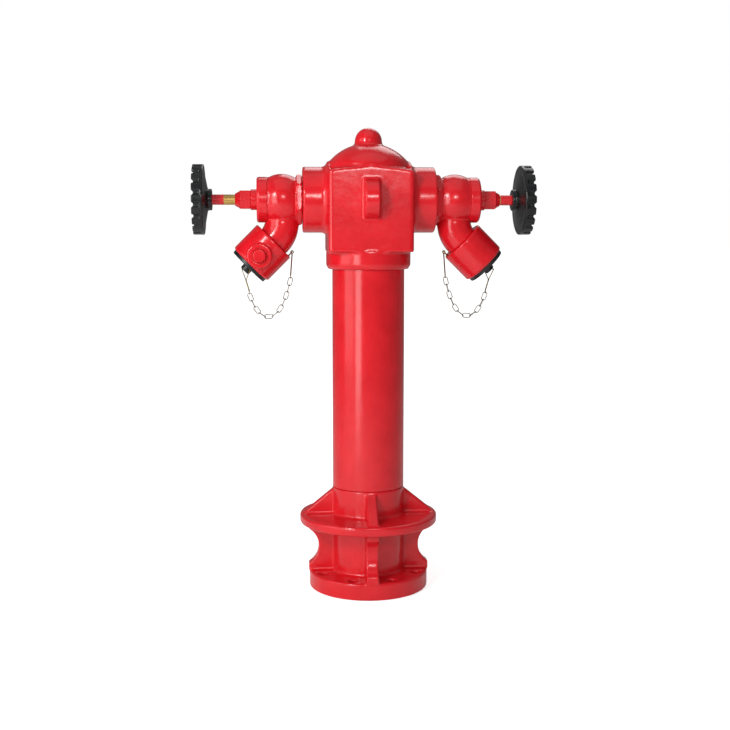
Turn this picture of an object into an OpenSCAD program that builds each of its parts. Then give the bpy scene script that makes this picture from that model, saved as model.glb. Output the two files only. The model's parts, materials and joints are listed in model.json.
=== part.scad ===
// Two-way pillar hydrant: a flanged column with a domed head casting, and on each side a screw-down
// oblique valve with a handwheel, an instantaneous hose coupling, a blank cap and its chain.
// Millimetres. Origin: centre of the base flange's underside. +Z up, the front faces -Y.

/* [Base casting] */
// Diameter of the bolted base flange
base_flange_d = 285; // [270:1:300]
// Thickness of the base flange
base_flange_t = 41; // [26:1:50]
// Circle that the base bolt holes lie on
bolt_circle_d = 240; // [225:1:246]
// Diameter of each base bolt hole
bolt_hole_d = 23; // [18:1:26]
// Number of base bolt holes
bolt_count = 8; // [4:4:12]
// Diameter of the ground flange
ground_flange_d = 330; // [300:1:360]
// Height of the ground flange's underside
ground_flange_z = 158; // [130:1:170]
// Thickness of the ground flange
ground_flange_t = 22; // [14:1:28]
// Height of the base casting's top end, where the barrel starts
base_top_z = 246; // [235:1:280]
// Thickness of the ribs between the two flanges
rib_t = 28; // [16:1:36]
// Radius of the hollow in each rib's outer edge
rib_hollow_r = 49.5; // [35:0.5:55]
// Thickness of the gussets above the ground flange
gusset_t = 25; // [12:1:30]
// Height of the gussets above the ground flange
gusset_h = 60; // [40:1:64]

/* [Barrel] */
// Outside diameter of the barrel
barrel_d = 171; // [165:1:176]
// Bore of the waterway
bore_d = 150; // [130:1:152]
// Diameter of the barrel's own bore
barrel_bore_d = 146; // [130:1:150]
// Length of the turned joints at the barrel's two ends
joint_len = 32; // [20:1:36]

/* [Head casting] */
// Height of the two valves' common axis above the base
axis_z = 928; // [800:1:1000]
// Width and depth of the head's square box
box_w = 196; // [190:1:210]
// Depth of the box below the valve axis
box_below = 121; // [112:1:130]
// Height of the box above the valve axis
box_above = 72; // [66:1:76]
// Radius on the upright edges of the box
box_edge_r = 8; // [3:1:12]
// Radius on the two upper side edges of the box
box_top_r = 18; // [6:1:24]
// How far the box's top falls from the middle of a side to its corners
box_crown = 9; // [3:1:14]
// Diameter of the collar under the box
collar_d = 200; // [194:1:210]
// Height of the collar
collar_h = 41; // [34:1:50]
// Radius of the dome
dome_r = 121.5; // [118:0.5:126]
// Height of the dome's centre above the valve axis
dome_lift = 10; // [8:0.5:16]
// Height of the knob's centre above the dome's top
knob_rise = 3.5; // [1:0.5:6]
// Radius of the knob's round top
knob_r = 32; // [26:1:36]
// Outside diameter of the side branches
branch_d = 153; // [140:1:166]
// Distance of a branch's face from the column's axis
branch_reach = 155; // [145:1:175]
// Radius of the lug on the front of the box
lug_r = 46; // [35:1:50]
// Thickness of the lug
lug_t = 33; // [20:1:40]
// Least wall of the castings
cast_wall = 14; // [10:1:18]

/* [Valve body] */
// Width across the flats of the valve's inlet hexagon
hex_af = 103; // [100:0.5:112]
// How far the screwed-up hexagon stands turned from upright
hex_turn = 6; // [0:1:30]
// Thickness of the inlet hexagon
hex_t = 14; // [8:1:18]
// Diameter of the screwed inlet end
inlet_thread_d = 88; // [80:1:94]
// Diameter of the waterway through the valve
port_d = 62; // [56:1:64]
// Diameter of the ball-shaped body
ball_d = 120; // [116:1:126]
// Distance from the branch face to the middle of the ball
ball_reach = 49; // [45:1:53]
// Wall of the ball
ball_wall = 10; // [7:1:12]
// Diameter of the neck that takes the bonnet
neck_d = 105; // [100:1:112]
// Outside diameter of the elbow
elbow_d = 79.5; // [74:0.5:84]
// Drop from the valve axis to the point where the elbow turns
elbow_drop = 77.5; // [74:0.5:84]
// Centre-line radius of the elbow's bend
elbow_bend_r = 60; // [50:1:60]

/* [Bonnet, stem and handwheel] */
// Diameter of the stem
stem_d = 24; // [20:1:26]
// Travel of the stem from shut to fully open
stem_travel = 24; // [16:1:26]
// Opening of the left valve as stored
left_lift = 24; // [0:1:24]
// Opening of the right valve as stored
right_lift = 0; // [0:1:24]
// Diameter of the bonnet
bonnet_d = 106; // [100:1:112]
// Width across the flats of the gland nut
gland_af = 42; // [40:0.5:44]
// Diameter of the handwheel
wheel_d = 163; // [150:1:180]
// Axial depth of the handwheel's rim
wheel_rim_t = 26; // [18:1:30]
// Number of finger scallops round the rim
wheel_lobes = 18; // [12:1:24]

/* [Hose coupling and cap] */
// Outside diameter of the coupling
coupling_d = 109; // [104:1:116]
// Length of the coupling
coupling_len = 78; // [70:1:90]
// Distance of the coupling's mouth from the elbow's turning point
mouth_reach = 104; // [100:1:116]
// Diameter of the coupling's mouth
mouth_d = 77; // [70:1:80]
// Diameter of the release boss on the coupling
boss_d = 58; // [50:1:62]
// Diameter of the release button
button_d = 29; // [22:1:32]
// Diameter of the blank cap's flange
cap_d = 98; // [88:1:104]

/* [Chain] */
// Thickness of the chain wire
wire_d = 2.1; // [1.6:0.1:2.2]
// Outside length of a chain link
link_len = 22; // [20:0.5:24]
// Outside width of a chain link
link_w = 12; // [11:0.5:14]
// Number of links in a chain
link_count = 11; // [9:2:13]
// Drop of the wire hook that the chain hangs from
hook_drop = 58; // [40:1:64]

/* [Hidden] */

enamel_red = "#cf2a2f";
wheel_black = "#26272a";
brass = "#b08d4c";
gunmetal = "#a9824e";
rubber_black = "#1c1c1e";
steel = "#c2c4c8";

$fn = 96;
over = 1;              // how far a cutter runs past the face that it opens
fit_gap = 0.05;        // radial clearance of a turned or screwed fit
loose_gap = 0.3;       // clearance between parts that move past each other

// Waterway and barrel joints
joint_d = (barrel_d + bore_d) / 2;
barrel_top_z = axis_z - box_below - collar_h + joint_len;
flange_edge_r = 4;
rib_r = base_flange_d / 2 + 2;
rib_hollow_x = rib_r + 25.5;
rib_hollow_z = (base_flange_t + ground_flange_z) / 2;
rim_round_r = 4;

// Head casting
collar_z = axis_z - box_below - collar_h;
box_mid_r = box_w / 2;
crown_centre = (pow(box_mid_r, 2) + pow(box_crown, 2)) / 2 / box_crown;
crown_r = norm([box_mid_r, crown_centre]);
shoulder_r = 22;
dome_z = axis_z + dome_lift;
knob_z = dome_z + dome_r + knob_rise;
branch_fillet_r = 13;
branch_socket = 35;
lug_sink = 8;          // how deep the lug's round centre lies behind the box's face

// Valve, along its own outward axis
washer_t = 1.2;
hex_x = branch_reach + washer_t;
ball_x = branch_reach + ball_reach;
chamber_r = ball_d / 2 - ball_wall;
chamber_x = ball_x - 28;
neck_end_x = ball_x + 33;
seat_flange_r = port_d / 2 + 8;
seat_x = chamber_x + 6;
gasket_t = 0.6;
bonnet_x = neck_end_x + gasket_t;
bonnet_thread_d = neck_d - 21;
bonnet_len = 24;
bonnet_end_x = bonnet_x + bonnet_len;
bonnet_spigot = 12.5;
bonnet_hollow_r = 30;
bonnet_hollow_x = bonnet_x + 3.5;
stuffing_box_d = stem_d + 12;
stuffing_end_x = bonnet_end_x + 14;
packing_t = 8;
gland_len = 25.5;
gland_nose = 11;

// Disc and stem, with the valve shut
disc_washer_t = 5;
disc_washer_r = port_d / 2 + 5;
disc_x = seat_x + fit_gap + disc_washer_t;
disc_t = 9;
disc_boss_r = 17;
foot_x = disc_x + 13;
foot_t = 5.4;
swivel_x = foot_x + 6;
swivel_len = 11;
stem_shoulder_x = swivel_x + swivel_len + loose_gap;
hub_x = stuffing_end_x + gland_len + gland_nose + 29;
hub_len = 30;
hub_r = 25;
flute_r = 6;
scallop_r = 6.5;
scallop_rise = 2;
square_w = 17;
wheel_stud_r = 8;

// Outlet frame: Z runs down and outwards at 45 degrees from the elbow's turning point
outlet_angle = 135;
bend_start = elbow_drop - elbow_bend_r * tan(22.5);
bend_step = 0.4;
elbow_bore_r = elbow_d / 2 - 11;
coupling_z = mouth_reach - coupling_len;
tail_thread_r = port_d / 2 + 6;
tail_len = 18;
seal_z = coupling_z + 24;
seal_t = 8;
plunger_z = mouth_reach - boss_d / 2 - 1;
boss_face = coupling_d / 2 + 9.5;
pin_r = 7;
pin_tip = mouth_d / 2 - 2.5;
plunger_step = pin_tip + 11.5;
plunger_flange_t = 2.5;
plunger_flange_r = 11;
spring_wire_r = 0.6;
spring_r = 8.6;
spring_turns = 2.5;
plunger_rod_r = 6;
spring_gland_t = 5;
spring_pocket_r = 16;
cap_lip_t = 8;
plug_len = 16;
cap_knob_z = mouth_reach + loose_gap + cap_lip_t;
cap_knob_h = 13;
cap_knob_r = 12.5;
cap_hole_r = 3;

// Chain: each link's slope grows evenly with its place, as in a hanging chain
wire_r = wire_d / 2;
shank_r = wire_r * 1.5;
eye_r = 4.5;
eye_wire_r = 1.5;
eye_z = coupling_z - 7.5;
eye_off = coupling_d / 2 - 6.5;
ring_r = 3.4;          // of the small wire rings that end the hook and the cap's loop
link_play = 0.6;
chain_pitch = link_len - 4 * wire_r - link_play;
chain_slack = 0.72;
chain_low = 7.1;
split_link = 7;
split_slack = 0.9;
cap_loop_turn = 35;

// Place of a point of the outlet frame in the valve's own X and Z
function outlet_point(off, along) = [
    ball_x + (along - off) * sin(45),
    -elbow_drop - (along + off) * sin(45)
];
function link_slope(i) = atan(chain_slack * (chain_low - i));
function link_step(i) = chain_pitch - (i == split_link ? split_slack : 0);
function link_dir(i) = [cos(link_slope(i)), -sin(link_slope(i))];
function link_centre(i) =
    i <= 1 ? chain_start + link_dir(1) * chain_pitch / 2
           : link_centre(i - 1) + (link_dir(i - 1) + link_dir(i)) * link_step(i - 1) / 2;

// Middle of the eye's wire at its far end, where the hook's upper ring hangs
eye_seat = outlet_point(eye_off, eye_z - eye_r);
hook_top = eye_seat - [0, ring_r - eye_wire_r - wire_r - loose_gap];
chain_start = eye_seat + [3.7, -hook_drop - 3];
chain_end = link_centre(link_count) + link_dir(link_count) * chain_pitch / 2;
cap_pivot = outlet_point(0, cap_knob_z + cap_knob_h - 5.5);
// How far past a chain end the wire of a ring lies that holds the end link
ring_hold = wire_r + link_play / 2 - loose_gap / 2;
hook_foot = chain_start + link_dir(1) * ring_hold + [0, ring_r];
loop_foot = chain_end - link_dir(link_count) * ring_hold + [0, ring_r];

// ---- helpers ----

module rounded_square(w, r) {
    translate([-w / 2 + r, -w / 2]) square([w - 2 * r, w]);
    translate([-w / 2, -w / 2 + r]) square([w, w - 2 * r]);
    for (x = [-1, 1], y = [-1, 1])
        translate([x * (w / 2 - r), y * (w / 2 - r)]) circle(r);
}

// A cylinder along +X from x0 to x1
module rod_x(x0, x1, r) {
    translate([x0, 0, 0]) rotate([0, 90, 0]) cylinder(h = x1 - x0, r = r);
}

// A tapering cylinder along +X
module cone_x(x0, x1, r0, r1) {
    translate([x0, 0, 0]) rotate([0, 90, 0]) cylinder(h = x1 - x0, r1 = r0, r2 = r1);
}

// A hexagonal bar along +X, its corners turned down at both ends; turn 0 has a corner at the top
module hex_x_bar(x0, x1, af, turned = 1.2, turn = 0) {
    corner_r = af / 2 / cos(30);
    edge = corner_r - turned;
    intersection() {
        translate([x0, 0, 0]) rotate([0, 90, 0]) rotate([0, 0, turn])
            cylinder(h = x1 - x0, r = corner_r, $fn = 6);
        union() {
            cone_x(x0, x0 + turned, edge, corner_r);
            rod_x(x0 + turned, x1 - turned, corner_r);
            cone_x(x1 - turned, x1, corner_r, edge);
        }
    }
}

module at_outlet() {
    translate([ball_x, 0, -elbow_drop]) rotate([0, outlet_angle, 0]) children();
}

// The release plunger's own axis: Z runs out of the coupling's side
module at_plunger() {
    at_outlet() translate([0, 0, plunger_z]) rotate([-90, 0, 0]) children();
}

module on_right() {
    translate([0, 0, axis_z]) children();
}

module on_left() {
    rotate([0, 0, 180]) on_right() children();
}

// ---- column ----

module flange_plate(d, t, r) {
    rotate_extrude() {
        square([d / 2 - r, t]);
        translate([0, r]) square([d / 2, t - 2 * r]);
        for (z = [r, t - r]) translate([d / 2 - r, z]) circle(r);
    }
}

module lower_rib() {
    translate([0, rib_t / 2, 0]) rotate([90, 0, 0]) linear_extrude(rib_t) difference() {
        translate([bore_d / 2 + 4, base_flange_t - over])
            square([rib_r - bore_d / 2 - 4, ground_flange_z - base_flange_t + 2 * over]);
        translate([rib_hollow_x, rib_hollow_z]) circle(rib_hollow_r);
    }
}

module gusset() {
    top_z = ground_flange_z + ground_flange_t;
    translate([0, gusset_t / 2, 0]) rotate([90, 0, 0]) linear_extrude(gusset_t) polygon([
        [bore_d / 2 + 4, ground_flange_z + over],
        [ground_flange_d / 2 - 2, ground_flange_z + ground_flange_t - rim_round_r],
        [ground_flange_d / 2 - 4, top_z - 2],
        [barrel_d / 2 - 1, top_z + gusset_h],
        [bore_d / 2 + 4, top_z + gusset_h]
    ]);
}

module base_casting() {
    color(enamel_red) difference() {
        union() {
            flange_plate(base_flange_d, base_flange_t, flange_edge_r);
            cylinder(h = base_top_z, d = barrel_d);
            translate([0, 0, ground_flange_z])
                flange_plate(ground_flange_d, ground_flange_t, rim_round_r);
            for (turn = [0 : 90 : 270]) rotate([0, 0, turn]) {
                lower_rib();
                gusset();
            }
        }
        translate([0, 0, -over]) cylinder(h = base_top_z + 2 * over, d = bore_d);
        translate([0, 0, base_top_z - joint_len])
            cylinder(h = joint_len + over, d = joint_d);
        for (i = [0 : bolt_count - 1])
            rotate([0, 0, (i + 0.5) * 360 / bolt_count]) translate([bolt_circle_d / 2, 0, -over])
                cylinder(h = base_flange_t + 2 * over, d = bolt_hole_d);
    }
}

module barrel() {
    color(enamel_red) difference() {
        union() {
            translate([0, 0, base_top_z]) cylinder(h = barrel_top_z - base_top_z, d = barrel_d);
            translate([0, 0, base_top_z - joint_len])
                cylinder(h = joint_len + over, d = joint_d - 2 * fit_gap);
        }
        translate([0, 0, base_top_z - joint_len - over])
            cylinder(h = barrel_top_z - base_top_z + joint_len + 2 * over, d = barrel_bore_d);
    }
}

module head_box() {
    box_h = box_below + box_above;
    intersection() {
        translate([0, 0, axis_z - box_below])
            linear_extrude(box_h) rounded_square(box_w, box_edge_r);
        translate([0, box_mid_r, axis_z - box_below]) rotate([90, 0, 0]) linear_extrude(box_w) {
            translate([-box_mid_r, 0]) square([box_w, box_h - box_top_r]);
            translate([-box_mid_r + box_top_r, 0]) square([box_w - 2 * box_top_r, box_h]);
            for (x = [-1, 1])
                translate([x * (box_mid_r - box_top_r), box_h - box_top_r]) circle(box_top_r);
        }
        translate([0, 0, axis_z + box_above - crown_centre]) sphere(crown_r);
    }
}

// Half outline of the dome: a round cap that turns down into an upright shoulder
module dome_outline() {
    reach = box_mid_r - 1;
    rise = sqrt(pow(dome_r - shoulder_r, 2) - pow(reach - shoulder_r, 2));
    lean = atan(rise / (reach - shoulder_r));
    difference() {
        union() {
            intersection() {
                circle(dome_r);
                polygon([[0, 0], [dome_r * 2 * cos(lean), dome_r * 2 * sin(lean)], [0, dome_r * 2]]);
            }
            translate([reach - shoulder_r, rise]) circle(shoulder_r);
            square([reach, rise]);
            square([reach - shoulder_r, rise + 1]);
        }
        translate([-dome_r * 2, -dome_r]) square([dome_r * 2, dome_r * 3]);
    }
}

module head_casting() {
    box_floor = axis_z - box_below;
    color(enamel_red) difference() {
        union() {
            translate([0, 0, collar_z + 10]) cylinder(h = collar_h - 9, d = collar_d);
            translate([0, 0, collar_z])
                cylinder(h = 10, d1 = collar_d - 12, d2 = collar_d);
            head_box();
            translate([0, 0, dome_z]) rotate_extrude() intersection() {
                dome_outline();
                translate([0, box_above - dome_lift - 6]) square(dome_r);
            }
            translate([0, 0, knob_z]) rotate_extrude() intersection() {
                union() {
                    circle(knob_r);
                    polygon([[0, 0], [knob_r, 0], [knob_r + 2.5, -14], [0, -14]]);
                }
                translate([0, -14]) square(3 * knob_r);
            }
            translate([0, 0, axis_z]) {
                rod_x(-branch_reach, branch_reach, branch_d / 2);
                for (turn = [0, 180]) rotate([0, 0, turn]) branch_fillet();
            }
            front_lug();
        }
        // Waterway: barrel socket, square chamber, dome space and the two branch sockets
        translate([0, 0, collar_z - over])
            cylinder(h = joint_len + over, d = barrel_d + 2 * fit_gap);
        translate([0, 0, collar_z - over])
            cylinder(h = axis_z - collar_z + over, d = bore_d);
        translate([0, 0, axis_z]) cylinder(h = box_above, r = bore_d / 2);
        intersection() {
            translate([0, 0, dome_z]) sphere(dome_r - cast_wall);
            translate([0, 0, axis_z + box_above - 1]) cylinder(h = dome_r, r = bore_d / 2);
        }
        translate([0, 0, axis_z]) {
            rod_x(-branch_reach - over, branch_reach + over, port_d / 2);
            for (turn = [0, 180]) rotate([0, 0, turn])
                rod_x(branch_reach - branch_socket, branch_reach + over,
                      inlet_thread_d / 2 + fit_gap);
        }
    }
}

module branch_fillet() {
    root_r = branch_d / 2 + branch_fillet_r;
    translate([box_mid_r - 1, 0, 0]) rotate([0, 90, 0]) rotate_extrude() difference() {
        translate([0, -4]) square([root_r, branch_fillet_r + 5]);
        translate([root_r, branch_fillet_r + 1]) circle(branch_fillet_r);
    }
}

module front_lug() {
    translate([-lug_t / 2, -box_mid_r + lug_sink, axis_z]) rotate([0, 90, 0])
        linear_extrude(lug_t) intersection() {
            circle(lug_r);
            translate([-lug_r, -lug_r]) square([2 * lug_r, lug_r]);
        }
}

// ---- valve, drawn with its axis along +X and the valve axis at Z = 0 ----

// The elbow's three stretches; the bend is a little fuller or leaner than the two straight ones
module elbow_path(r, bend_r, tail_z) {
    translate([ball_x, 0, -bend_start]) cylinder(h = bend_start, r = r);
    translate([ball_x + elbow_bend_r, 0, -bend_start]) rotate([90, 0, 0])
        rotate_extrude(angle = 45, start = 180) translate([elbow_bend_r, 0]) circle(bend_r);
    at_outlet() translate([0, 0, elbow_drop - bend_start])
        cylinder(h = tail_z - elbow_drop + bend_start, r = r);
}

module valve_body() {
    color(enamel_red) difference() {
        union() {
            rod_x(branch_reach - branch_socket + 3, hex_x + 1, inlet_thread_d / 2);
            hex_x_bar(hex_x, hex_x + hex_t, hex_af, 4, hex_turn);
            rod_x(hex_x + hex_t - 1, ball_x - 26, 49);
            intersection() {
                translate([ball_x, 0, 0]) rotate([0, 90, 0]) sphere(ball_d / 2);
                rod_x(hex_x, neck_end_x, ball_d / 2 + 1);
            }
            rod_x(ball_x, neck_end_x, neck_d / 2);
            elbow_path(elbow_d / 2, elbow_d / 2 + bend_step, coupling_z);
            at_outlet() translate([0, 0, coupling_z - 1])
                cylinder(h = tail_len + 1, r = tail_thread_r);
        }
        rod_x(branch_reach - branch_socket, chamber_x + 1, port_d / 2);
        rod_x(chamber_x - 10, chamber_x + 1, port_d / 2 + 4 + fit_gap);
        intersection() {
            translate([ball_x, 0, 0]) rotate([0, 90, 0]) sphere(chamber_r);
            rod_x(chamber_x, neck_end_x, ball_d / 2);
        }
        rod_x(bonnet_x - bonnet_spigot - 1, neck_end_x + over, bonnet_thread_d / 2);
        elbow_path(elbow_bore_r, elbow_bore_r - bend_step, coupling_z + tail_len + over);
        // room for the bonnet where the elbow would stand in its way
        rod_x(neck_end_x, bonnet_end_x, bonnet_d / 2 + 1);
    }
}

module inlet_washer() {
    color(rubber_black) difference() {
        rod_x(branch_reach, hex_x, hex_af / 2 - 2);
        rod_x(branch_reach - over, hex_x + over, inlet_thread_d / 2 + fit_gap);
    }
}

module seat_ring() {
    color(gunmetal) difference() {
        union() {
            rod_x(chamber_x - 10, chamber_x, port_d / 2 + 4);
            rod_x(chamber_x, chamber_x + 3, seat_flange_r);
            rod_x(chamber_x + 3, seat_x, port_d / 2 + 3.5);
        }
        rod_x(chamber_x - 11, seat_x + over, port_d / 2);
    }
}

module bonnet_gasket() {
    color(rubber_black) difference() {
        rod_x(neck_end_x, bonnet_x, neck_d / 2 - 0.5);
        rod_x(neck_end_x - over, bonnet_x + over, bonnet_thread_d / 2);
    }
}

module bonnet() {
    color(enamel_red) difference() {
        union() {
            rod_x(bonnet_x - bonnet_spigot, bonnet_x + 1, bonnet_thread_d / 2 - fit_gap);
            rod_x(bonnet_x, bonnet_end_x - 4, bonnet_d / 2);
            cone_x(bonnet_end_x - 4, bonnet_end_x, bonnet_d / 2, bonnet_d / 2 - 3);
            rod_x(bonnet_end_x - 1, stuffing_end_x, stem_d);
        }
        rod_x(bonnet_x - bonnet_spigot - over, bonnet_hollow_x, bonnet_hollow_r);
        rod_x(bonnet_hollow_x - over, stuffing_end_x, stem_d / 2 + fit_gap);
        rod_x(bonnet_end_x, stuffing_end_x + over, stuffing_box_d / 2);
    }
}

module gland_packing() {
    color("#5a5346") difference() {
        rod_x(bonnet_end_x, bonnet_end_x + packing_t, stuffing_box_d / 2 - fit_gap);
        rod_x(bonnet_end_x - over, bonnet_end_x + packing_t + over, stem_d / 2 + fit_gap);
    }
}

module gland_nut() {
    end_x = stuffing_end_x + gland_len;
    color(enamel_red) difference() {
        union() {
            rod_x(bonnet_end_x + packing_t, stuffing_end_x + 1, stuffing_box_d / 2 - fit_gap);
            hex_x_bar(stuffing_end_x, end_x, gland_af, turn = 30);
            rod_x(end_x - 2, end_x, gland_af / 2 - 1);
            cone_x(end_x, end_x + gland_nose, gland_af / 2 - 1, stem_d / 2 + 2);
        }
        rod_x(bonnet_end_x, end_x + gland_nose + over, stem_d / 2 + 0.2);
    }
}

module valve_disc(lift) {
    rim_r = disc_washer_r + 3;
    color(gunmetal) translate([lift, 0, 0]) difference() {
        union() {
            rod_x(disc_x - 3, disc_x + disc_t, rim_r);
            rod_x(disc_x + disc_t - 1, swivel_x + 6, disc_boss_r);
            rod_x(disc_x - 12.5, disc_x, pin_r);
        }
        difference() {
            rod_x(disc_x - 3 - over, disc_x, disc_washer_r + fit_gap);
            rod_x(disc_x - 3 - 2 * over, disc_x + over, pin_r);
        }
        rod_x(foot_x, swivel_x + 1, stem_d / 2 - 1 + loose_gap);
        rod_x(swivel_x, swivel_x + 6 + over, disc_boss_r - 3 + fit_gap);
    }
}

module disc_washer(lift) {
    color(rubber_black) translate([lift, 0, 0]) difference() {
        rod_x(disc_x - disc_washer_t, disc_x, disc_washer_r);
        rod_x(disc_x - disc_washer_t - over, disc_x + over, pin_r + fit_gap);
    }
}

module disc_nut(lift) {
    face_x = disc_x - disc_washer_t;
    color(brass) translate([lift, 0, 0]) difference() {
        hex_x_bar(face_x - 7, face_x, 24);
        rod_x(face_x - 8, face_x + over, pin_r + fit_gap);
    }
}

module swivel_nut(lift) {
    color(brass) translate([lift, 0, 0]) difference() {
        union() {
            rod_x(swivel_x, swivel_x + 6.5, disc_boss_r - 3);
            hex_x_bar(swivel_x + 6, swivel_x + swivel_len, 30);
        }
        rod_x(swivel_x - over, swivel_x + swivel_len + over, 8 + loose_gap);
    }
}

module stem(lift) {
    nut_end_x = hub_x + hub_len + 16;
    color(brass) translate([lift, 0, 0]) {
        rod_x(foot_x + loose_gap, foot_x + loose_gap + foot_t, stem_d / 2 - 1);
        rod_x(foot_x + foot_t, stem_shoulder_x + 1, 8);
        rod_x(stem_shoulder_x, hub_x, stem_d / 2);
        translate([hub_x - 1, -square_w / 2, -square_w / 2]) cube([hub_len - 3, square_w, square_w]);
        rod_x(hub_x + hub_len - 5, nut_end_x - 1.5, wheel_stud_r);
        cone_x(nut_end_x - 1.5, nut_end_x, wheel_stud_r, wheel_stud_r - 1.5);
    }
}

// Half outline of the handwheel, radius to the right and the outward axis upwards
module wheel_outline() {
    rim_r = wheel_d / 2;
    square([hub_r, hub_len]);
    polygon([
        [hub_r - 3, 9], [rim_r - 14, 18], [rim_r - 5, 18],
        [rim_r - 5, 24], [rim_r - 14, 23.5], [hub_r - 3, 15.5]
    ]);
    translate([rim_r - 7, 20]) square([7, wheel_rim_t - 2]);
    translate([rim_r - 7, 18]) square([5, 4]);
    translate([rim_r - 2, 20]) circle(2);
}

module handwheel(lift) {
    rim_r = wheel_d / 2;
    color(wheel_black) translate([hub_x + lift, 0, 0]) rotate([0, 90, 0]) difference() {
        rotate_extrude() wheel_outline();
        for (i = [0 : wheel_lobes - 1]) rotate([0, 0, i * 360 / wheel_lobes]) {
            // a flute down the rim's outside, and a scallop in its outer edge
            translate([rim_r + 2, 0, 25]) cylinder(h = wheel_rim_t, r = flute_r, $fn = 48);
            translate([rim_r - 12, 0, 18 + wheel_rim_t + scallop_rise]) rotate([0, 90, 0])
                cylinder(h = 20, r = scallop_r, $fn = 48);
        }
        translate([-square_w / 2 - fit_gap, -square_w / 2 - fit_gap, -over])
            cube([square_w + 2 * fit_gap, square_w + 2 * fit_gap, hub_len + 2 * over]);
    }
}

module wheel_washer(lift) {
    color(steel) translate([lift, 0, 0]) difference() {
        rod_x(hub_x + hub_len, hub_x + hub_len + 2.5, 17);
        rod_x(hub_x + hub_len - over, hub_x + hub_len + 2.5 + over, wheel_stud_r + fit_gap);
    }
}

module wheel_nut(lift) {
    nut_x = hub_x + hub_len + 2.5;
    color(steel) translate([lift, 0, 0]) difference() {
        hex_x_bar(nut_x, nut_x + 11, 24);
        rod_x(nut_x - over, nut_x + 11 + over, wheel_stud_r + fit_gap);
    }
}

// ---- hose coupling, drawn in the same valve frame ----

module coupling() {
    outer_r = coupling_d / 2;
    color(enamel_red) difference() {
        union() {
            at_outlet() {
                translate([0, 0, coupling_z]) cylinder(h = 2, r1 = outer_r - 2, r2 = outer_r);
                translate([0, 0, coupling_z + 2]) cylinder(h = coupling_len - 6, r = outer_r);
                translate([0, 0, mouth_reach - 4]) cylinder(h = 4, r1 = outer_r, r2 = outer_r - 4);
            }
            at_plunger() {
                translate([0, 0, mouth_d / 2 + 2])
                    cylinder(h = boss_face - mouth_d / 2 - 4, r = boss_d / 2);
                translate([0, 0, boss_face - 2]) cylinder(h = 2, r1 = boss_d / 2, r2 = boss_d / 2 - 2);
            }
        }
        at_outlet() {
            translate([0, 0, coupling_z - over])
                cylinder(h = tail_len + 2 * over, r = tail_thread_r + fit_gap);
            translate([0, 0, coupling_z]) cylinder(h = coupling_len, r = port_d / 2);
            translate([0, 0, seal_z]) cylinder(h = seal_t, r = mouth_d / 2 + 2.5);
            translate([0, 0, seal_z]) cylinder(h = coupling_len, r = mouth_d / 2);
            translate([eye_off, 0, coupling_z - over]) cylinder(h = 9, r = 2 + fit_gap, $fn = 32);
        }
        at_plunger() {
            translate([0, 0, mouth_d / 2 - 6]) cylinder(h = 30, r = pin_r + fit_gap);
            translate([0, 0, plunger_step]) cylinder(h = 40, r = spring_pocket_r);
        }
    }
}

module coupling_seal() {
    color(rubber_black) at_outlet() difference() {
        translate([0, 0, seal_z]) cylinder(h = seal_t - 0.4, r = mouth_d / 2 + 2.4);
        translate([0, 0, seal_z - over]) cylinder(h = seal_t + over, r = port_d / 2 + 2);
    }
}

module release_plunger() {
    color(enamel_red) at_plunger() {
        translate([0, 0, pin_tip]) cylinder(h = 1.5, r1 = pin_r - 1.5, r2 = pin_r);
        translate([0, 0, pin_tip + 1.5]) cylinder(h = plunger_step - pin_tip - 1, r = pin_r);
        translate([0, 0, plunger_step + loose_gap]) cylinder(h = plunger_flange_t, r = plunger_flange_r);
        translate([0, 0, plunger_step]) cylinder(h = boss_face + 3 - plunger_step, r = plunger_rod_r);
        translate([0, 0, boss_face + 2]) rotate_extrude() {
            square([button_d / 2, 7]);
            square([button_d / 2 - 2, 9]);
            translate([button_d / 2 - 2, 7]) circle(2, $fn = 32);
        }
    }
}

module plunger_spring() {
    coil_start = plunger_step + loose_gap + plunger_flange_t + spring_wire_r;
    coil_end = boss_face - spring_gland_t - spring_wire_r;
    color(steel) at_plunger() translate([0, 0, coil_start])
        coil(spring_r, spring_wire_r, coil_end - coil_start, spring_turns);
}

// A coil of wire about Z: rings of points along a helix, joined by faces and closed at both ends
module coil(r, wire, height, turns, sides = 8, steps = 24) {
    last = turns * steps;
    lean = atan(height / (2 * PI * r * turns));
    points = [
        for (i = [0 : last], j = [0 : sides - 1])
            let (a = i * 360 / steps, b = j * 360 / sides,
                 out = r + wire * cos(b), along = -wire * sin(b) * sin(lean))
            [out * cos(a) - along * sin(a), out * sin(a) + along * cos(a),
             height * i / last + wire * sin(b) * cos(lean)]
    ];
    skin = [
        for (i = [0 : last - 1], j = [0 : sides - 1])
            let (k = (j + 1) % sides)
            [i * sides + j, i * sides + k, (i + 1) * sides + k, (i + 1) * sides + j]
    ];
    start = [for (j = [sides - 1 : -1 : 0]) j];
    end = [for (j = [0 : sides - 1]) last * sides + j];
    polyhedron(points, concat(skin, [start, end]));
}

module plunger_gland() {
    color(brass) at_plunger() difference() {
        translate([0, 0, boss_face - spring_gland_t])
            cylinder(h = spring_gland_t, r = spring_pocket_r - fit_gap);
        translate([0, 0, boss_face - spring_gland_t - over])
            cylinder(h = spring_gland_t + 2 * over, r = plunger_rod_r + fit_gap);
    }
}

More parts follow.
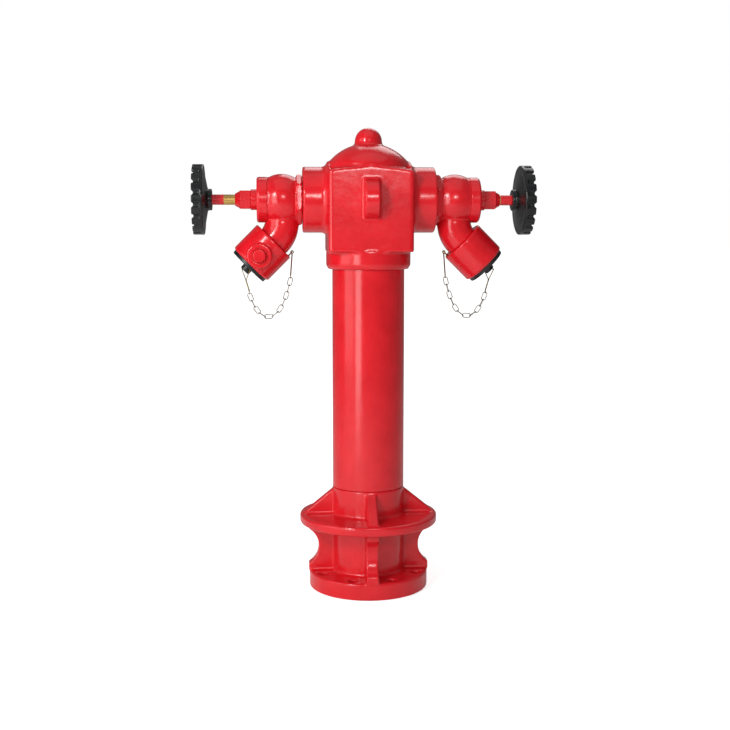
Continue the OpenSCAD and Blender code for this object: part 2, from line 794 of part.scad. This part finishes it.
module blank_cap() {
    lip_z = mouth_reach + loose_gap;
    color(rubber_black) difference() {
        at_outlet() {
            difference() {
                translate([0, 0, lip_z - plug_len]) cylinder(h = plug_len + 1, r = mouth_d / 2 - loose_gap);
                translate([0, 0, lip_z - plug_len - over]) cylinder(h = plug_len - 3, r = mouth_d / 2 - 4);
            }
            translate([0, 0, lip_z]) rotate_extrude() {
                square([cap_d / 2 - 2, cap_lip_t]);
                square([cap_d / 2, cap_lip_t - 2]);
                translate([cap_d / 2 - 2, cap_lip_t - 2]) circle(2, $fn = 32);
            }
            translate([0, 0, cap_knob_z]) rotate_extrude() {
                square([cap_knob_r, cap_knob_h - 4]);
                square([cap_knob_r - 4, cap_knob_h]);
                translate([cap_knob_r - 4, cap_knob_h - 4]) circle(4, $fn = 48);
            }
        }
        translate([cap_pivot[0], 0, cap_pivot[1]]) rotate([0, 0, cap_loop_turn]) rotate([90, 0, 0])
            cylinder(h = 4 * cap_knob_r, r = cap_hole_r, center = true);
    }
}

// ---- chain: every wire runs through the middle plane of the valve ----

// Half a ring of wire, from +X over +Y to -X
module half_ring(r) {
    rotate_extrude(angle = 180) translate([r, 0]) circle(wire_r, $fn = 24);
}

module wire_between(a, b, r) {
    run = b - a;
    length = norm(run);
    translate(a) rotate([0, acos(run[2] / length), atan2(run[1], run[0])])
        cylinder(h = length, r = r, $fn = 24);
}

// One link, long side along X, lying in the XY plane
module link() {
    half_w = link_w / 2 - wire_r;
    straight = link_len / 2 - link_w / 2;
    for (turn = [0, 180]) rotate([0, 0, turn]) {
        translate([straight, 0, 0]) rotate([0, 0, -90]) half_ring(half_w);
        translate([-straight, half_w, 0]) rotate([0, 90, 0])
            cylinder(h = 2 * straight, r = wire_r, $fn = 24);
    }
}

// Links first to last of the hanging chain, every second one turned on edge
module chain_links(first, last) {
    color(steel) for (i = [first : last]) {
        c = link_centre(i);
        translate([c[0], 0, c[1]]) rotate([0, link_slope(i), 0])
            rotate([i % 2 == 1 ? 90 : 0, 0, 0]) link();
    }
}

module chain_eye() {
    color(steel) at_outlet() translate([eye_off, 0, 0]) {
        translate([0, 0, eye_z]) rotate([0, 90, 0]) rotate_extrude()
            translate([eye_r, 0]) circle(eye_wire_r, $fn = 24);
        translate([0, 0, eye_z + eye_r + 0.5]) cylinder(h = 9, r = 2, $fn = 32);
    }
}

// A ring of wire in the XZ plane
module wire_ring() {
    rotate([90, 0, 0]) rotate_extrude() translate([ring_r, 0]) circle(wire_r, $fn = 24);
}

// A wire tie that hangs from an eye: a twisted shank with a ring at each end
module chain_hook() {
    run = hook_foot - hook_top;
    color(brass) translate([hook_top[0], 0, hook_top[1]]) {
        wire_ring();
        wire_between([0, 0, -ring_r], [run[0], 0, run[1] + ring_r], shank_r);
        translate([run[0], 0, run[1]]) rotate([0, 0, 90]) wire_ring();
    }
}

// The cap's wire loop: through the knob, down both sides, then a shank with a ring at its foot
module cap_loop() {
    side = cap_knob_r + 4.5;
    pinch = [0, 0, -26];
    foot = loop_foot - cap_pivot;
    color(brass) translate([cap_pivot[0], 0, cap_pivot[1]]) {
        rotate([0, 0, cap_loop_turn]) {
            wire_between([0, -side, 0], [0, side, 0], wire_r);
            for (y = [-1, 1]) {
                translate([0, y * side, 0]) sphere(wire_r + 0.1, $fn = 24);
                wire_between([0, y * side, 0], pinch, wire_r);
            }
        }
        translate(pinch) sphere(shank_r + 0.1, $fn = 24);
        wire_between(pinch, [foot[0], 0, foot[1] + ring_r], shank_r);
        translate([foot[0], 0, foot[1]]) rotate([0, 0, 90]) wire_ring();
    }
}

base_casting();
barrel();
head_casting();

on_left() valve_body();  // left_valve_body
on_left() inlet_washer();  // left_inlet_washer
on_left() seat_ring();  // left_seat_ring
on_left() bonnet_gasket();  // left_bonnet_gasket
on_left() bonnet();  // left_bonnet
on_left() gland_packing();  // left_gland_packing
on_left() gland_nut();  // left_gland_nut
on_left() valve_disc(left_lift);  // left_valve_disc
on_left() disc_washer(left_lift);  // left_disc_washer
on_left() disc_nut(left_lift);  // left_disc_nut
on_left() swivel_nut(left_lift);  // left_swivel_nut
on_left() stem(left_lift);  // left_stem
on_left() handwheel(left_lift);  // left_handwheel
on_left() wheel_washer(left_lift);  // left_wheel_washer
on_left() wheel_nut(left_lift);  // left_wheel_nut
on_left() coupling();  // left_coupling
on_left() coupling_seal();  // left_coupling_seal
on_left() release_plunger();  // left_release_plunger
on_left() plunger_spring();  // left_plunger_spring
on_left() plunger_gland();  // left_plunger_gland
on_left() blank_cap();  // left_blank_cap
on_left() chain_eye();  // left_chain_eye
on_left() chain_hook();  // left_chain_hook
on_left() chain_links(1, split_link);  // left_chain_valve_half
on_left() chain_links(split_link + 1, link_count);  // left_chain_cap_half
on_left() cap_loop();  // left_cap_loop

on_right() valve_body();  // right_valve_body
on_right() inlet_washer();  // right_inlet_washer
on_right() seat_ring();  // right_seat_ring
on_right() bonnet_gasket();  // right_bonnet_gasket
on_right() bonnet();  // right_bonnet
on_right() gland_packing();  // right_gland_packing
on_right() gland_nut();  // right_gland_nut
on_right() valve_disc(right_lift);  // right_valve_disc
on_right() disc_washer(right_lift);  // right_disc_washer
on_right() disc_nut(right_lift);  // right_disc_nut
on_right() swivel_nut(right_lift);  // right_swivel_nut
on_right() stem(right_lift);  // right_stem
on_right() handwheel(right_lift);  // right_handwheel
on_right() wheel_washer(right_lift);  // right_wheel_washer
on_right() wheel_nut(right_lift);  // right_wheel_nut
on_right() coupling();  // right_coupling
on_right() coupling_seal();  // right_coupling_seal
on_right() release_plunger();  // right_release_plunger
on_right() plunger_spring();  // right_plunger_spring
on_right() plunger_gland();  // right_plunger_gland
on_right() blank_cap();  // right_blank_cap
on_right() chain_eye();  // right_chain_eye
on_right() chain_hook();  // right_chain_hook
on_right() chain_links(1, split_link);  // right_chain_valve_half
on_right() chain_links(split_link + 1, link_count);  // right_chain_cap_half
on_right() cap_loop();  // right_cap_loop
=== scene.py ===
# %% [markdown]
# # A two-way pillar hydrant
# The hydrant arrives as a imported model: every sub-part in its real place, plain and hard-edged.
# This script keeps those places and gives each sub-part the surface that it has on a real hydrant:
# sand-cast iron under brushed red enamel, black enamelled wheels, turned brass, zinc-plated chain.

# %% Load the frame
import json
import math

import bmesh
import bpy
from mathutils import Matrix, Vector

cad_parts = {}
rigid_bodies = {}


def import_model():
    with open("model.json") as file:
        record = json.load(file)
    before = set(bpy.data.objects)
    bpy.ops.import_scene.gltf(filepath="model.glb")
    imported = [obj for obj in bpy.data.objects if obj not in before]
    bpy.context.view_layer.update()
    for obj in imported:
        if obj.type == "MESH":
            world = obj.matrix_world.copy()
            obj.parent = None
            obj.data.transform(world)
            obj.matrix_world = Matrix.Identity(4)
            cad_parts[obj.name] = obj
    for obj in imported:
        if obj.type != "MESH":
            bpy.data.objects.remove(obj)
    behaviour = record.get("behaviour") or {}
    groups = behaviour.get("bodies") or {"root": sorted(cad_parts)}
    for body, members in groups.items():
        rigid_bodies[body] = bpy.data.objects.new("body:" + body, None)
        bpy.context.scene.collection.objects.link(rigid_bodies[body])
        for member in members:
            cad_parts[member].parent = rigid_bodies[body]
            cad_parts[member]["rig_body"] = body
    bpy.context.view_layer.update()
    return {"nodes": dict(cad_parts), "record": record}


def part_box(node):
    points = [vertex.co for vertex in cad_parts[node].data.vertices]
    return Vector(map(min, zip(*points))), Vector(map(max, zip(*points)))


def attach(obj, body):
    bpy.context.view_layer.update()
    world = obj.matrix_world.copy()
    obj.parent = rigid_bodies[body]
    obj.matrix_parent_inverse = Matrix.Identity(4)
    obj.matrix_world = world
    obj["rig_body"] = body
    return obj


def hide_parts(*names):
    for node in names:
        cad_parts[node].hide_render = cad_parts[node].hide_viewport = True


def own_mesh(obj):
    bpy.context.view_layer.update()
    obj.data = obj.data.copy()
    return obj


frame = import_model()
nodes = frame["nodes"]
node_body = {n: o["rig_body"] for n, o in nodes.items()}
mm = 0.001
SIDES = ("left", "right")

# %% [markdown]
# ## Camera
# A hydrant a little over a metre tall is best seen from a few paces back through a fairly long
# lens, so that the column stays upright. The camera stands just below the valves, slightly to the
# left of the front, and tips down to the middle of the column.

# %% Place the camera
camera_turn = math.radians(-4.5)
camera_away = 2.71
camera_height = 0.846
aim = Vector((-0.0078, 0, 0.537))

camera = bpy.data.objects.new("camera", bpy.data.cameras.new("camera"))
bpy.context.scene.collection.objects.link(camera)
camera.location = (
    aim.x + camera_away * math.sin(camera_turn),
    aim.y - camera_away * math.cos(camera_turn),
    camera_height,
)
camera.rotation_euler = (aim - camera.location).to_track_quat("-Z", "Y").to_euler()
camera.data.sensor_width = 36
camera.data.lens = 56.2
bpy.context.scene.camera = camera
print("camera at", tuple(round(c, 3) for c in camera.location))

# %% [markdown]
# ## Nodes and colours
# Materials are node trees. One function adds a node with its settings and its links, so that a
# material reads as a list of what it is made of. Colours are written as sRGB hex values, as on a
# paint card, and one function turns them into the linear values that the renderer wants.

# %% Helpers for materials
def colour(hex_value):
    """A paint-card colour such as "d0141f" as linear red, green, blue and alpha."""
    parts = [int(hex_value[i : i + 2], 16) / 255 for i in (0, 2, 4)]
    return [c / 12.92 if c <= 0.04045 else ((c + 0.055) / 1.055) ** 2.4 for c in parts] + [1]


def add(tree, kind, settings=(), **inputs):
    """Adds a node of that kind; an input is a value, or another node's output to link."""
    node = tree.nodes.new(kind)
    for name, value in dict(settings).items():
        setattr(node, name, value)
    for name, value in inputs.items():
        socket = node.inputs[name.replace("_", " ")]
        if isinstance(value, bpy.types.NodeSocket):
            tree.links.new(value, socket)
        else:
            socket.default_value = value
    return node


def new_material(name):
    """An empty material, its tree and the object coordinates that its patterns are laid on."""
    material = bpy.data.materials.new(name)
    material.use_nodes = True
    material.node_tree.nodes.clear()
    tree = material.node_tree
    place = add(tree, "ShaderNodeTexCoord").outputs["Object"]
    return material, tree, place


def noise(tree, place, size_mm, detail=2.0, roughness=0.5):
    """Noise whose blotches are about size_mm across."""
    node = add(tree, "ShaderNodeTexNoise", Vector=place, Scale=1 / (size_mm * mm), Detail=detail,
               Roughness=roughness)
    return node.outputs["Fac"]


def spread(tree, value, low, high, new_low, new_high):
    """Stretches a value from low..high to new_low..new_high."""
    node = add(tree, "ShaderNodeMapRange", Value=value, From_Min=low, From_Max=high,
               To_Min=new_low, To_Max=new_high)
    return node.outputs["Result"]


def blend_colours(tree, amount, first, second):
    """A mix of two colours by an amount from 0 to 1."""
    node = add(tree, "ShaderNodeMix", {"data_type": "RGBA"})
    tree.links.new(amount, node.inputs["Factor"])
    for socket, value in ((node.inputs[6], first), (node.inputs[7], second)):
        if isinstance(value, bpy.types.NodeSocket):
            tree.links.new(value, socket)
        else:
            socket.default_value = value
    return node.outputs[2]


def finish_material(material, tree, shader):
    """Links the shader to the material's output, which completes it."""
    output = add(tree, "ShaderNodeOutputMaterial")
    tree.links.new(shader.outputs[0], output.inputs["Surface"])
    print("finish:", material.name)
    return material


print("helpers ready; mid grey is", [round(c, 3) for c in colour("808080")])

# %% [markdown]
# ## Red enamel on sand-cast iron
# The castings are shot-blasted iron, primed and given thick alkyd enamel. The paint is glossy, but
# the sand mould's grain and the paint's own flow leave it gently uneven, so highlights break up.
# Three bumps do that: slow waves some 30 mm long, orange peel of 5 mm, and a faint grain of 3 mm.
# The coat's thickness varies too, so the red shifts a little from patch to patch.

# %% Red enamel
RED_THICK = "d0141f"
RED_THIN = "da1a25"


def red_enamel(name, wave, peel, grain):
    """wave, peel and grain are the heights in mm of the three kinds of unevenness."""
    material, tree, place = new_material(name)
    waves = noise(tree, place, size_mm=30, detail=1.0)
    peels = noise(tree, place, size_mm=5, detail=2.0)
    grains = noise(tree, place, size_mm=3, detail=2.0)
    bump = add(tree, "ShaderNodeBump", Height=waves, Distance=wave * mm, Strength=1.0)
    bump = add(tree, "ShaderNodeBump", Height=peels, Distance=peel * mm, Strength=1.0,
               Normal=bump.outputs["Normal"])
    bump = add(tree, "ShaderNodeBump", Height=grains, Distance=grain * mm, Strength=1.0,
               Normal=bump.outputs["Normal"])
    patches = noise(tree, place, size_mm=60, detail=3.0)
    body = blend_colours(tree, spread(tree, patches, 0.35, 0.65, 0, 1), colour(RED_THICK),
                         colour(RED_THIN))
    gloss = spread(tree, peels, 0.3, 0.7, 0.16, 0.24)
    shader = add(tree, "ShaderNodeBsdfPrincipled", Base_Color=body, Roughness=gloss, IOR=1.5,
                 Normal=bump.outputs["Normal"])
    return finish_material(material, tree, shader)


cast_enamel = red_enamel("red_enamel_on_sand_casting", wave=0.5, peel=0.05, grain=0.01)
smooth_enamel = red_enamel("red_enamel_on_turned_iron", wave=0.25, peel=0.03, grain=0.0)

# %% [markdown]
# ## Black enamel, moulded black, metals and rubber
# The handwheels are cast iron dipped in black enamel; the blank caps are moulded black plastic.
# Turned brass and gunmetal come clean from the lathe: two close colours in soft clouds 9 mm across,
# and marks too fine to see one by one. Zinc plate on steel has gone dull, with the same clouds.

# %% The other finishes
def black_enamel():
    material, tree, place = new_material("black_enamel_on_cast_iron")
    waves = noise(tree, place, size_mm=12, detail=2.0)
    grains = noise(tree, place, size_mm=2, detail=3.0)
    bump = add(tree, "ShaderNodeBump", Height=waves, Distance=0.35 * mm, Strength=1.0)
    bump = add(tree, "ShaderNodeBump", Height=grains, Distance=0.05 * mm, Strength=1.0,
               Normal=bump.outputs["Normal"])
    body = blend_colours(tree, spread(tree, waves, 0.35, 0.65, 0, 1), colour("0d0e0f"),
                         colour("17181a"))
    shader = add(tree, "ShaderNodeBsdfPrincipled", Base_Color=body, IOR=1.45,
                 Normal=bump.outputs["Normal"],
                 Roughness=spread(tree, grains, 0.3, 0.7, 0.22, 0.32))
    return finish_material(material, tree, shader)


def moulded_black():
    material, tree, place = new_material("moulded_black_plastic")
    grains = noise(tree, place, size_mm=0.9, detail=2.0)
    flow = noise(tree, place, size_mm=25, detail=2.0)
    bump = add(tree, "ShaderNodeBump", Height=grains, Distance=0.03 * mm, Strength=1.0)
    body = blend_colours(tree, spread(tree, flow, 0.4, 0.6, 0, 1), colour("141517"),
                         colour("1c1d20"))
    shader = add(tree, "ShaderNodeBsdfPrincipled", Base_Color=body, IOR=1.5,
                 Normal=bump.outputs["Normal"],
                 Roughness=spread(tree, grains, 0.3, 0.7, 0.34, 0.44))
    return finish_material(material, tree, shader)


def metal(name, first, second, rough_low, rough_high, scratch):
    """A bare metal: two close colours in soft clouds and fine marks of that height in mm."""
    material, tree, place = new_material(name)
    clouds = noise(tree, place, size_mm=9, detail=3.0)
    marks = noise(tree, place, size_mm=0.6, detail=2.0)
    bump = add(tree, "ShaderNodeBump", Height=marks, Distance=scratch * mm, Strength=1.0)
    body = blend_colours(tree, spread(tree, clouds, 0.35, 0.65, 0, 1), colour(first),
                         colour(second))
    shader = add(tree, "ShaderNodeBsdfPrincipled", Base_Color=body, Metallic=1.0,
                 Normal=bump.outputs["Normal"],
                 Roughness=spread(tree, clouds, 0.3, 0.7, rough_low, rough_high))
    return finish_material(material, tree, shader)


def soft_black(name, first, second):
    """Rubber, or graphited packing: matt, dark and slightly mottled."""
    material, tree, place = new_material(name)
    spots = noise(tree, place, size_mm=1.2, detail=3.0)
    bump = add(tree, "ShaderNodeBump", Height=spots, Distance=0.05 * mm, Strength=1.0)
    body = blend_colours(tree, spots, colour(first), colour(second))
    shader = add(tree, "ShaderNodeBsdfPrincipled", Base_Color=body, Normal=bump.outputs["Normal"],
                 Roughness=spread(tree, spots, 0.3, 0.7, 0.6, 0.8))
    return finish_material(material, tree, shader)


finish_of_slot = {
    "black_enamel": black_enamel(),
    "black_cap": moulded_black(),
    "brass": metal("turned_brass", "c9a561", "b8924e", 0.22, 0.36, 0.01),
    "gunmetal": metal("machined_gunmetal", "b98a58", "a67747", 0.28, 0.42, 0.01),
    "steel": metal("dull_zinc_plated_steel", "a5a19a", "8a857c", 0.3, 0.45, 0.01),
    "wire": metal("dulled_brass_wire", "a08a55", "84703f", 0.3, 0.45, 0.01),
    "rubber": soft_black("nitrile_rubber", "1b1b1d", "242426"),
    "packing": soft_black("graphited_packing", "3a372f", "55503f"),
    "red_enamel": smooth_enamel,
}
slot_of_node = {p["node"]: p["material_slot"] for p in frame["record"]["subparts"]}

# %% [markdown]
# ## A stem that was painted in place
# The stems are brass, but the painter's brush reached the stretch beside each wheel's hub while the
# valve was shut. The paint ends 27 mm in from the hub, and an open valve shows clean brass
# beyond it. The mask is the distance along X, with a little noise for the brush's ragged edge.

# %% Painted stems
PAINTED_STRETCH = 27 * mm
RAGGED = 0.8 * mm
FEATHERED = 0.3 * mm


def painted_stem(side):
    """Brass that turns to red enamel beyond a ragged edge, short of that side's handwheel."""
    material, tree, place = new_material(f"{side}_brass_stem_with_brushed_red_edge")
    hub_x = min(abs(corner.x) for corner in map(Vector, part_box(side + "_handwheel")))
    along = add(tree, "ShaderNodeMath", {"operation": "ABSOLUTE"})
    tree.links.new(add(tree, "ShaderNodeSeparateXYZ", Vector=place).outputs["X"], along.inputs[0])
    ragged = spread(tree, noise(tree, place, size_mm=4, detail=2.0), 0.3, 0.7, -RAGGED, RAGGED)
    brushed = add(tree, "ShaderNodeMath", {"operation": "ADD"})
    tree.links.new(along.outputs[0], brushed.inputs[0])
    tree.links.new(ragged, brushed.inputs[1])
    paint_end = hub_x - PAINTED_STRETCH
    paint = spread(tree, brushed.outputs[0], paint_end - FEATHERED, paint_end + FEATHERED, 0, 1)
    shader = add(tree, "ShaderNodeBsdfPrincipled", Roughness=0.3,
                 Metallic=spread(tree, paint, 0, 1, 1, 0),
                 Base_Color=blend_colours(tree, paint, colour("c9a561"), colour(RED_THIN)))
    return finish_material(material, tree, shader)

# %% [markdown]
# ## From a CAD sub-part to a finished piece
# A CAD mesh is loose triangles with flat shading. Two ways make a finished piece of a copy of it.
# A turned or planed part keeps its crisp form: its doubles are merged, the surface is shaded smooth
# between the real edges, and a Bevel modifier breaks those edges as a file would. A sand casting
# has no crisp edge at all: a voxel Remesh builds its skin anew from small even faces, and a few
# passes of smoothing round every edge and fill every inner corner, as the moulder's fillets do.

# %% Two ways to finish a CAD copy
def merged_copy(node):
    """A copy of a CAD node with its loose triangles joined."""
    mesh = nodes[node].data.copy()
    mesh.materials.clear()
    piece = bpy.data.objects.new("finished_" + node, mesh)
    bpy.context.scene.collection.objects.link(piece)
    shape = bmesh.new()
    shape.from_mesh(mesh)
    bmesh.ops.remove_doubles(shape, verts=shape.verts, dist=0.02 * mm)
    shape.to_mesh(mesh)
    shape.free()
    if mesh.has_custom_normals:
        mesh.attributes.remove(mesh.attributes["custom_normal"])
    return piece


def apply_modifiers(piece):
    """Bakes the live modifiers into the piece's mesh."""
    graph = bpy.context.evaluated_depsgraph_get()
    graph.update()
    mesh = bpy.data.meshes.new_from_object(piece.evaluated_get(graph))
    piece.modifiers.clear()
    piece.data = mesh


def settle(piece, node, material):
    """Gives a finished piece its material and body, and lets it stand for its CAD node."""
    piece.data.materials.clear()
    piece.data.materials.append(material)
    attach(piece, node_body[node])
    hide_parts(node)
    return piece


def turned(node, edge_mm=0.6, sharp_deg=28, material=None):
    """A crisp part: smooth shading between real edges, and those edges broken by a small bevel."""
    piece = merged_copy(node)
    shape = bmesh.new()
    shape.from_mesh(piece.data)
    bmesh.ops.dissolve_limit(shape, angle_limit=math.radians(0.1), verts=shape.verts,
                             edges=shape.edges)
    for face in shape.faces:
        face.smooth = True
    for edge in shape.edges:
        edge.smooth = edge.is_manifold and edge.calc_face_angle(0) < math.radians(sharp_deg)
    shape.to_mesh(piece.data)
    shape.free()
    bevel = piece.modifiers.new("broken_edges", "BEVEL")
    bevel.width = edge_mm * mm
    bevel.segments = 2
    bevel.limit_method = "ANGLE"
    bevel.angle_limit = math.radians(sharp_deg)
    bevel.harden_normals = True
    return settle(piece, node, material or finish_of_slot[slot_of_node[node]])


def cast(node, voxel_mm, passes, material):
    """A sand casting: an even new skin whose edges and corners are rounded by smoothing."""
    piece = merged_copy(node)
    remesh = piece.modifiers.new("even_skin", "REMESH")
    remesh.mode = "VOXEL"
    remesh.voxel_size = voxel_mm * mm
    remesh.use_smooth_shade = True
    round_off = piece.modifiers.new("fillets", "SMOOTH")
    round_off.factor = 0.5
    round_off.iterations = passes
    apply_modifiers(piece)
    piece.data.shade_smooth()
    print(node, "is cast in", len(piece.data.polygons), "faces")
    return settle(piece, node, material)


# %% [markdown]
# ## Column castings
# The base, the barrel and the head make up the column. The base and the head are castings and get
# a skin of 2.6 mm faces, fine enough for the head's rounded box and for the ribs' fillets. The
# barrel is a plain tube, so it is finished as a turned part.

# %% Cast the column
cast("base_casting", voxel_mm=2.6, passes=4, material=cast_enamel)
cast("head_casting", voxel_mm=2.6, passes=5, material=cast_enamel)
turned("barrel", edge_mm=1.0, material=smooth_enamel)

# %% [markdown]
# ## Valve castings
# Each valve body is a ball with a screwed inlet, a neck and an elbow, all in one casting. Its
# hexagon is left as cast. The coupling is cast as well, and so thick with paint that its edges are
# soft; the bonnet and the release button are turned, then painted with the rest. The gland nut gets
# a very fine skin of its own, because paint has rounded its corners too.

# %% Cast and turn the valves
for side in SIDES:
    cast(side + "_valve_body", voxel_mm=1.5, passes=3, material=cast_enamel)
    cast(side + "_handwheel", voxel_mm=1.2, passes=5, material=finish_of_slot["black_enamel"])
    cast(side + "_coupling", voxel_mm=1.4, passes=2, material=cast_enamel)
    cast(side + "_gland_nut", voxel_mm=0.9, passes=2, material=smooth_enamel)
    for part in ("bonnet", "release_plunger"):
        turned(f"{side}_{part}", edge_mm=1.0)
    for part in ("plunger_gland", "inlet_washer", "bonnet_gasket"):
        turned(f"{side}_{part}", edge_mm=0.2, material=smooth_enamel)
    turned(side + "_stem", edge_mm=0.4, material=painted_stem(side))
    for part in ("blank_cap", "wheel_washer", "wheel_nut", "seat_ring", "valve_disc", "disc_washer",
                 "disc_nut", "swivel_nut", "gland_packing", "coupling_seal"):
        turned(f"{side}_{part}", edge_mm=0.4)

# %% [markdown]
# ## Wire parts
# The chain, its hook and loop, the eye and the spring are bent from wire, so nothing on them has an
# edge. They only need smooth shading. The chain is dull zinc-plated steel; its hook, loop and eye
# are brass wire that has lost its shine. The spring is given a mesh of its own.


def wire(node, material):
    """A piece of bent wire: its doubles merged and its surface shaded smooth."""
    piece = merged_copy(node)
    piece.data.shade_smooth()
    return settle(piece, node, material)


for side in SIDES:
    for part in ("chain_eye", "chain_hook", "cap_loop"):
        wire(f"{side}_{part}", finish_of_slot["wire"])
    for part in ("chain_valve_half", "chain_cap_half"):
        wire(f"{side}_{part}", finish_of_slot["steel"])
    spring = wire(side + "_plunger_spring", finish_of_slot["steel"])
    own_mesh(spring)
print("wire parts done")

# %% [markdown]
# ## Studio
# The hydrant stands on a pale floor in an evenly white room. A tall soft box some 30 degrees to the
# left of the camera draws the long highlight down the barrel, a broad one further left fills that
# side, and hardly anything lights the right, so the column turns dark there. Two small lamps put
# the crisp gleams on the balls, the branches and the knob. A broad one behind and high up shows
# the back in the turned views, and a dim one overhead opens the shadows on top. The floor glows
# towards the camera only, fully white far off and less beside the hydrant. That dimmer ring is
# painted shade round its foot, and it lets the lamps' real shadow show faintly for the hydrant to
# stand on.

# %% Floor, room and lights
# FLOOR_GLOW_NEAR is the dimmer glow beside the hydrant: painted shade round its foot.
FLOOR_GLOW_NEAR = 0.62
FLOOR_GLOW_FAR = 1.0
GLOW_RISES_FROM = 0.4
GLOW_RISES_TO = 1.6
FLOOR_HALF_SIZE = 60
ROOM_AS_SEEN = 1.0
ROOM_AS_LIGHT = 0.18

floor_mesh = bpy.data.meshes.new("floor")
shape = bmesh.new()
bmesh.ops.create_grid(shape, x_segments=1, y_segments=1, size=FLOOR_HALF_SIZE)
shape.to_mesh(floor_mesh)
shape.free()
floor = bpy.data.objects.new("floor", floor_mesh)
bpy.context.scene.collection.objects.link(floor)
material, tree, place = new_material("pale_floor")
away = add(tree, "ShaderNodeVectorMath", {"operation": "LENGTH"})
tree.links.new(place, away.inputs[0])
# Lower glow near the hydrant: painted shade round its foot, on top of the real shadow from the
# lamps.
glow = spread(tree, away.outputs["Value"], GLOW_RISES_FROM, GLOW_RISES_TO,
              FLOOR_GLOW_NEAR, FLOOR_GLOW_FAR)
to_camera = add(tree, "ShaderNodeMath", {"operation": "MULTIPLY"})
tree.links.new(glow, to_camera.inputs[0])
tree.links.new(add(tree, "ShaderNodeLightPath").outputs["Is Camera Ray"], to_camera.inputs[1])
shader = add(tree, "ShaderNodeBsdfPrincipled", Roughness=0.9, Base_Color=colour("ffffff"),
             Emission_Color=colour("ffffff"), Emission_Strength=to_camera.outputs[0])
floor_mesh.materials.append(finish_material(material, tree, shader))

world = bpy.data.worlds.new("white_room")
bpy.context.scene.world = world
world.use_nodes = True
world.node_tree.nodes.clear()
tree = world.node_tree
seen = add(tree, "ShaderNodeBackground", Color=(1, 1, 1, 1), Strength=ROOM_AS_SEEN)
dim = add(tree, "ShaderNodeBackground", Color=(1, 1, 1, 1), Strength=ROOM_AS_LIGHT)
mix = tree.nodes.new("ShaderNodeMixShader")
tree.links.new(add(tree, "ShaderNodeLightPath").outputs["Is Camera Ray"], mix.inputs[0])
tree.links.new(dim.outputs[0], mix.inputs[1])
tree.links.new(seen.outputs[0], mix.inputs[2])
tree.links.new(mix.outputs[0], add(tree, "ShaderNodeOutputWorld").inputs["Surface"])


def soft_box(name, turn, away, height, width, tall, power, look_at=(0, 0, 0.6)):
    """A rectangular area light on a circle round the hydrant; turn is measured from the front."""
    light = bpy.data.lights.new(name, "AREA")
    light.shape = "RECTANGLE"
    light.size = width
    light.size_y = tall
    light.energy = power
    lamp = bpy.data.objects.new(name, light)
    bpy.context.scene.collection.objects.link(lamp)
    a = math.radians(turn)
    lamp.location = (away * math.sin(a), -away * math.cos(a), height)
    lamp.rotation_euler = (Vector(look_at) - lamp.location).to_track_quat("-Z", "Y").to_euler()


VALVE_HEIGHT = (0, 0, 0.9)
soft_box("tall_key", turn=-36, away=3.2, height=0.9, width=1.0, tall=1.9, power=30)
soft_box("left_fill", turn=-68, away=2.8, height=1.1, width=1.6, tall=1.8, power=18)
soft_box("rear_fill", turn=165, away=2.4, height=3.2, width=1.8, tall=1.8, power=24,
         look_at=(0, 0, 0.5))
soft_box("small_key", turn=-38, away=2.4, height=1.8, width=0.4, tall=0.4, power=21,
         look_at=VALVE_HEIGHT)
soft_box("front_gleam", turn=3, away=2.7, height=1.5, width=0.6, tall=0.25, power=14,
         look_at=VALVE_HEIGHT)
soft_box("overhead", turn=0, away=0.6, height=3.0, width=2.4, tall=2.4, power=8,
         look_at=VALVE_HEIGHT)
bpy.context.scene.view_settings.view_transform = "Standard"
print("studio ready")
